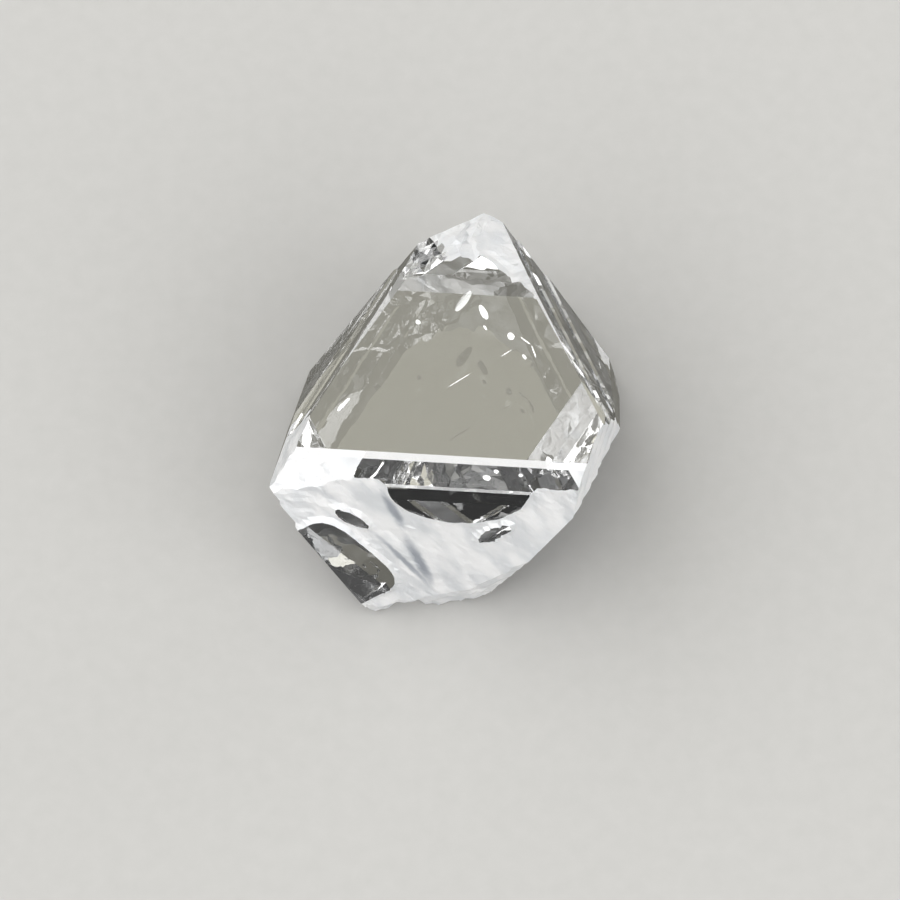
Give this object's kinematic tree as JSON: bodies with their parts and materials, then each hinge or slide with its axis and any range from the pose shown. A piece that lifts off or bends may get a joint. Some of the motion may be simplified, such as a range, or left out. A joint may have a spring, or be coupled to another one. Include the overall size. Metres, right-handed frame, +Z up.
{
  "type": "rough diamond",
  "caption": "Uncut octahedral diamond crystal, clear, with a frosted front, growth-layered edges and broken corners, lying on one flat natural face.",
  "frame": {"origin": "centre of the crystal's box, on the surface that it lies on", "axes": "+Z up, out of the large top face; -Y towards the sloping front face; +X to the right of someone who looks along +Y"},
  "size_m": [0.0048, 0.0048, 0.0031],
  "materials": {
    "diamond": "clear natural crystal faces, frosted on the front and where broken"
  },
  "bodies": {
    "root": {"rough_diamond": "diamond"}
  },
  "joints": []
}
